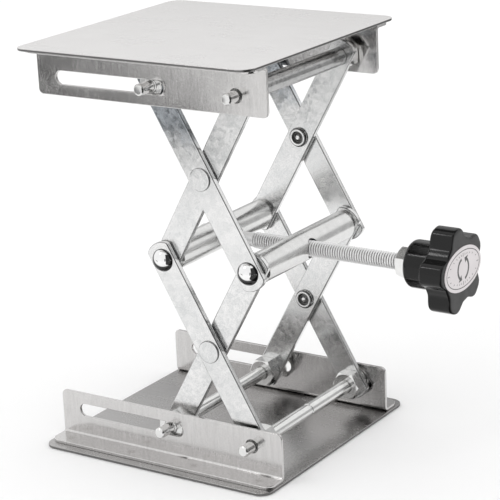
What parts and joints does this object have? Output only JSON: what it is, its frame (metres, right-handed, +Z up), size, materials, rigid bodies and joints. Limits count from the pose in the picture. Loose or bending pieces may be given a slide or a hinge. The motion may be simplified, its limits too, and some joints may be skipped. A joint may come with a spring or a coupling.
{
  "type": "lab jack",
  "caption": "Scissor lab jack: two square steel plates on crossed flat arms, raised and lowered by a lead screw with a star knob.",
  "frame": {"origin": "on the table under the middle of the base plate, on its underside", "axes": "+Z up; +X along the lead screw towards the knob; +Y to the back, along the cross rods, so the front rails are at -Y"},
  "size_m": [0.1523, 0.1, 0.1527],
  "materials": {
    "plate_steel": "satin",
    "rail_steel": "gloss",
    "zinc_plate": "satin",
    "bright_steel": "gloss",
    "chrome_plate": "polished",
    "brass": "gloss",
    "black_phenolic": "gloss",
    "white_label": "matte"
  },
  "bodies": {
    "base": {"base_plate": "plate_steel", "base_rail_front": "rail_steel", "base_rail_back": "rail_steel", "base_pivot_rod": "bright_steel", "base_pivot_nut_front": "bright_steel", "base_pivot_nut_back": "bright_steel", "base_pivot_washer_front": "bright_steel", "base_pivot_washer_back": "bright_steel"},
    "lower_outer_arms": {"lower_outer_arm_front": "zinc_plate", "lower_outer_arm_back": "zinc_plate", "lower_rivet_front": "zinc_plate", "lower_rivet_back": "zinc_plate"},
    "lower_inner_arms": {"lower_inner_arm_front": "zinc_plate", "lower_inner_arm_back": "zinc_plate", "base_slide_rod": "bright_steel", "base_slide_nut_front": "bright_steel", "base_slide_nut_back": "bright_steel", "base_slide_thin_nut_front": "bright_steel", "base_slide_thin_nut_back": "bright_steel"},
    "left_bar": {"left_bar": "chrome_plate", "left_pin_front": "chrome_plate", "left_pin_back": "chrome_plate"},
    "right_bar": {"right_bar": "chrome_plate", "right_pin_front": "chrome_plate", "right_pin_back": "chrome_plate"},
    "screw": {"lead_screw": "bright_steel", "thrust_collar": "bright_steel", "retaining_washer": "bright_steel", "lock_nut": "bright_steel", "star_knob": "black_phenolic", "knob_insert": "brass", "knob_label": "white_label"},
    "upper_inner_arms": {"upper_inner_arm_front": "zinc_plate", "upper_inner_arm_back": "zinc_plate"},
    "upper_outer_arms": {"upper_outer_arm_front": "zinc_plate", "upper_outer_arm_back": "zinc_plate", "upper_rivet_front": "zinc_plate", "upper_rivet_back": "zinc_plate", "top_slide_rod": "bright_steel", "top_slide_nut_front": "bright_steel", "top_slide_nut_back": "bright_steel", "top_slide_washer_front": "bright_steel", "top_slide_washer_back": "bright_steel"},
    "top": {"top_plate": "plate_steel", "top_rail_front": "rail_steel", "top_rail_back": "rail_steel", "top_pivot_rod": "bright_steel", "top_pivot_tube": "bright_steel", "top_pivot_thin_nut_front": "bright_steel", "top_pivot_thin_nut_back": "bright_steel"}
  },
  "joints": [
    {"name": "screw_turn", "type": "hinge", "parent": "left_bar", "child": "screw", "pos_m": [-0.0001, 0, 0.07633], "axis": [1, 0, 0], "range_deg": [-13440, 940]},
    {"name": "lift", "type": "hinge", "parent": "base", "child": "lower_outer_arms", "pos_m": [0.0364, 0, 0.0123], "axis": [0, 1, 0], "range_deg": [-49.89, 3.51]},
    {"name": "lower_cross", "type": "hinge", "parent": "lower_outer_arms", "child": "lower_inner_arms", "pos_m": [0.01815, 0, 0.04431], "axis": [0, 1, 0], "range_deg": [-7, 99.75]},
    {"name": "left_bar_pivot", "type": "hinge", "parent": "lower_outer_arms", "child": "left_bar", "pos_m": [-0.0001, 0, 0.07633], "axis": [0, 1, 0], "range_deg": [-3.51, 49.89]},
    {"name": "right_bar_pivot", "type": "hinge", "parent": "lower_inner_arms", "child": "right_bar", "pos_m": [0.0364, 0, 0.07633], "axis": [0, 1, 0], "range_deg": [-49.89, 3.51]},
    {"name": "upper_inner_pivot", "type": "hinge", "parent": "left_bar", "child": "upper_inner_arms", "pos_m": [-0.0001, 0, 0.07633], "axis": [0, 1, 0], "range_deg": [-3.51, 49.89]},
    {"name": "upper_cross", "type": "hinge", "parent": "upper_inner_arms", "child": "upper_outer_arms", "pos_m": [0.01815, 0, 0.10834], "axis": [0, 1, 0], "range_deg": [-99.75, 7]},
    {"name": "top_pivot", "type": "hinge", "parent": "upper_inner_arms", "child": "top", "pos_m": [0.0364, 0, 0.14035], "axis": [0, 1, 0], "range_deg": [-49.89, 3.51]}
  ],
  "couplings": [
    {"joint": "lift", "follows": "screw_turn", "ratio": 0.00371},
    {"joint": "lower_cross", "follows": "screw_turn", "ratio": -0.00742},
    {"joint": "left_bar_pivot", "follows": "screw_turn", "ratio": -0.00371},
    {"joint": "right_bar_pivot", "follows": "screw_turn", "ratio": 0.00371},
    {"joint": "upper_inner_pivot", "follows": "screw_turn", "ratio": -0.00371},
    {"joint": "upper_cross", "follows": "screw_turn", "ratio": 0.00742},
    {"joint": "top_pivot", "follows": "screw_turn", "ratio": 0.00371}
  ]
}
